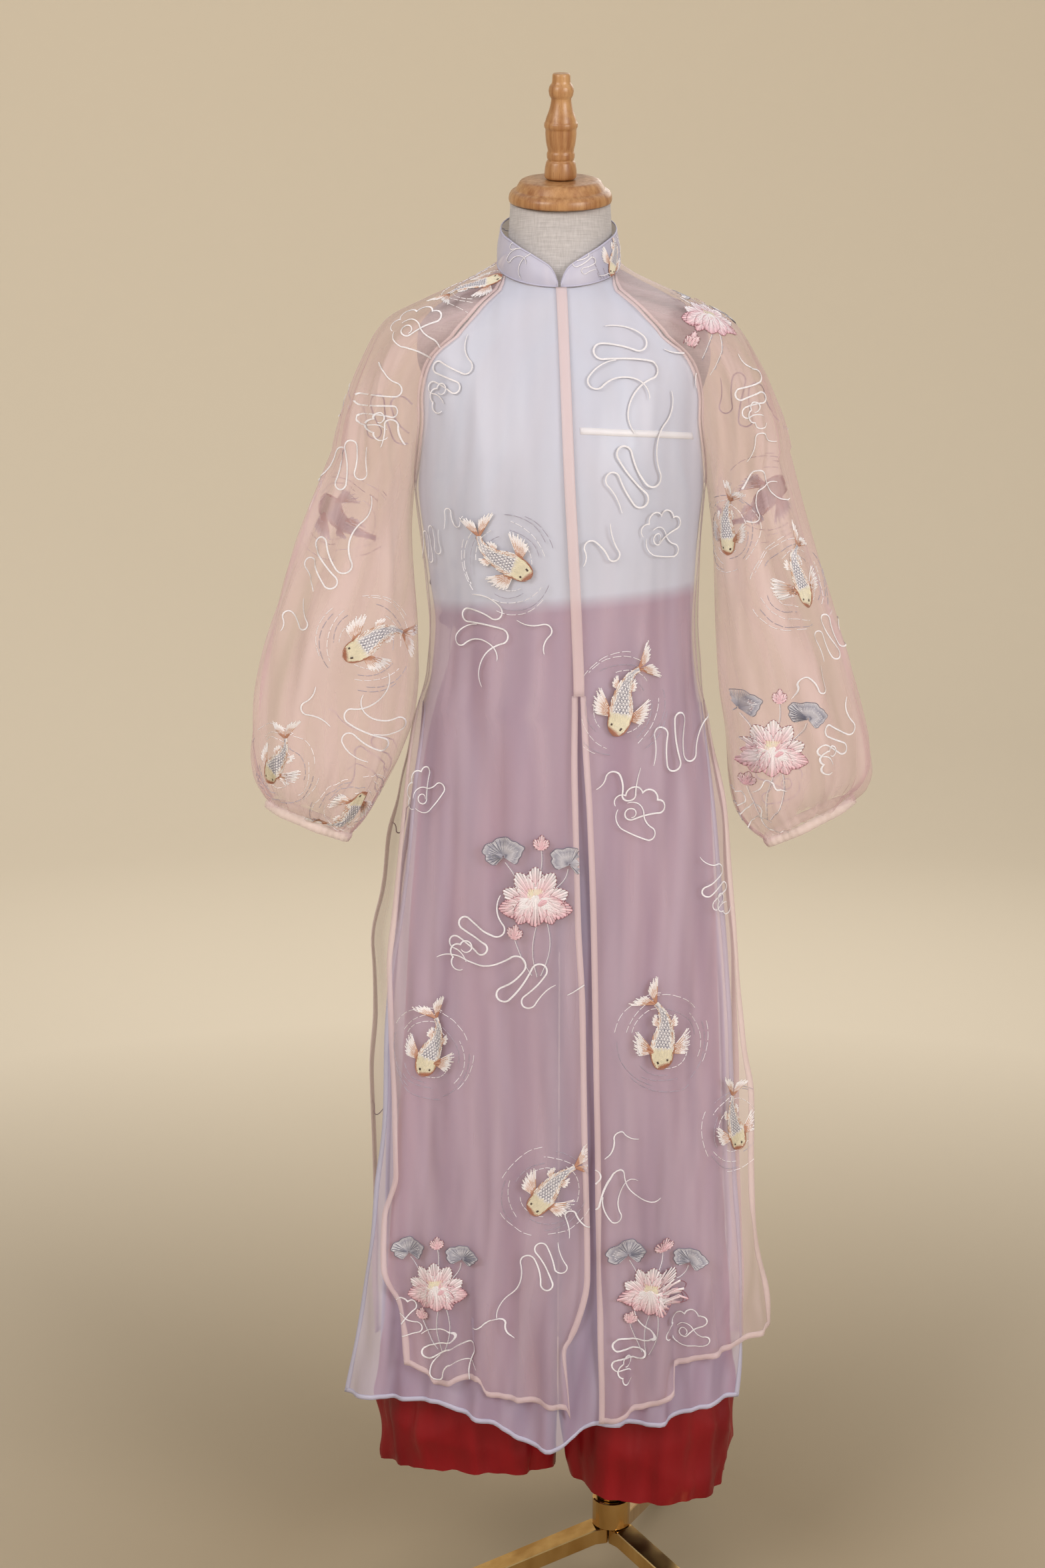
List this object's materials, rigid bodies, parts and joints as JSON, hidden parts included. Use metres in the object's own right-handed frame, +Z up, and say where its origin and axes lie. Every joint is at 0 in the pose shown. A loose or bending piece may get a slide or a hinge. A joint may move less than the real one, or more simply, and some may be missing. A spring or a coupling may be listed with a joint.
{
  "type": "ao dai on dress form stand",
  "caption": "Sheer embroidered ao dai with bishop sleeves and red trousers, worn by a limbless dress form with a wooden neck finial on a gold three-legged stand.",
  "frame": {"origin": "middle of the footprint's box, on the floor under the stand", "axes": "+Z up the neck finial, -Y the way the garment's front faces, +X towards the wearer's left"},
  "size_m": [0.7424, 0.6016, 1.925],
  "materials": {
    "pink_organza": "sheer peach-pink organza",
    "lilac_organza": "sheer pale lilac organza",
    "red_satin": "crimson satin",
    "form_linen": "natural linen cover",
    "turned_wood": "lacquered honey-coloured wood",
    "gold_metal": "polished gold-coloured metal",
    "black_rubber": "matt"
  },
  "bodies": {
    "root": {"outer_front_right": "pink_organza", "outer_front_left": "pink_organza", "outer_back": "pink_organza", "front_placket": "pink_organza", "sleeve_right": "pink_organza", "sleeve_left": "pink_organza", "cuff_right": "pink_organza", "cuff_left": "pink_organza", "collar": "lilac_organza", "inner_front": "lilac_organza", "inner_back": "lilac_organza", "trouser_leg_right": "red_satin", "trouser_leg_left": "red_satin", "waistband": "red_satin", "dress_form": "form_linen", "neck_cap": "turned_wood", "neck_finial": "turned_wood", "pole": "gold_metal", "hub": "gold_metal", "base_leg_1": "gold_metal", "base_leg_2": "gold_metal", "base_leg_3": "gold_metal", "foot_1": "black_rubber", "foot_2": "black_rubber", "foot_3": "black_rubber"}
  },
  "joints": []
}
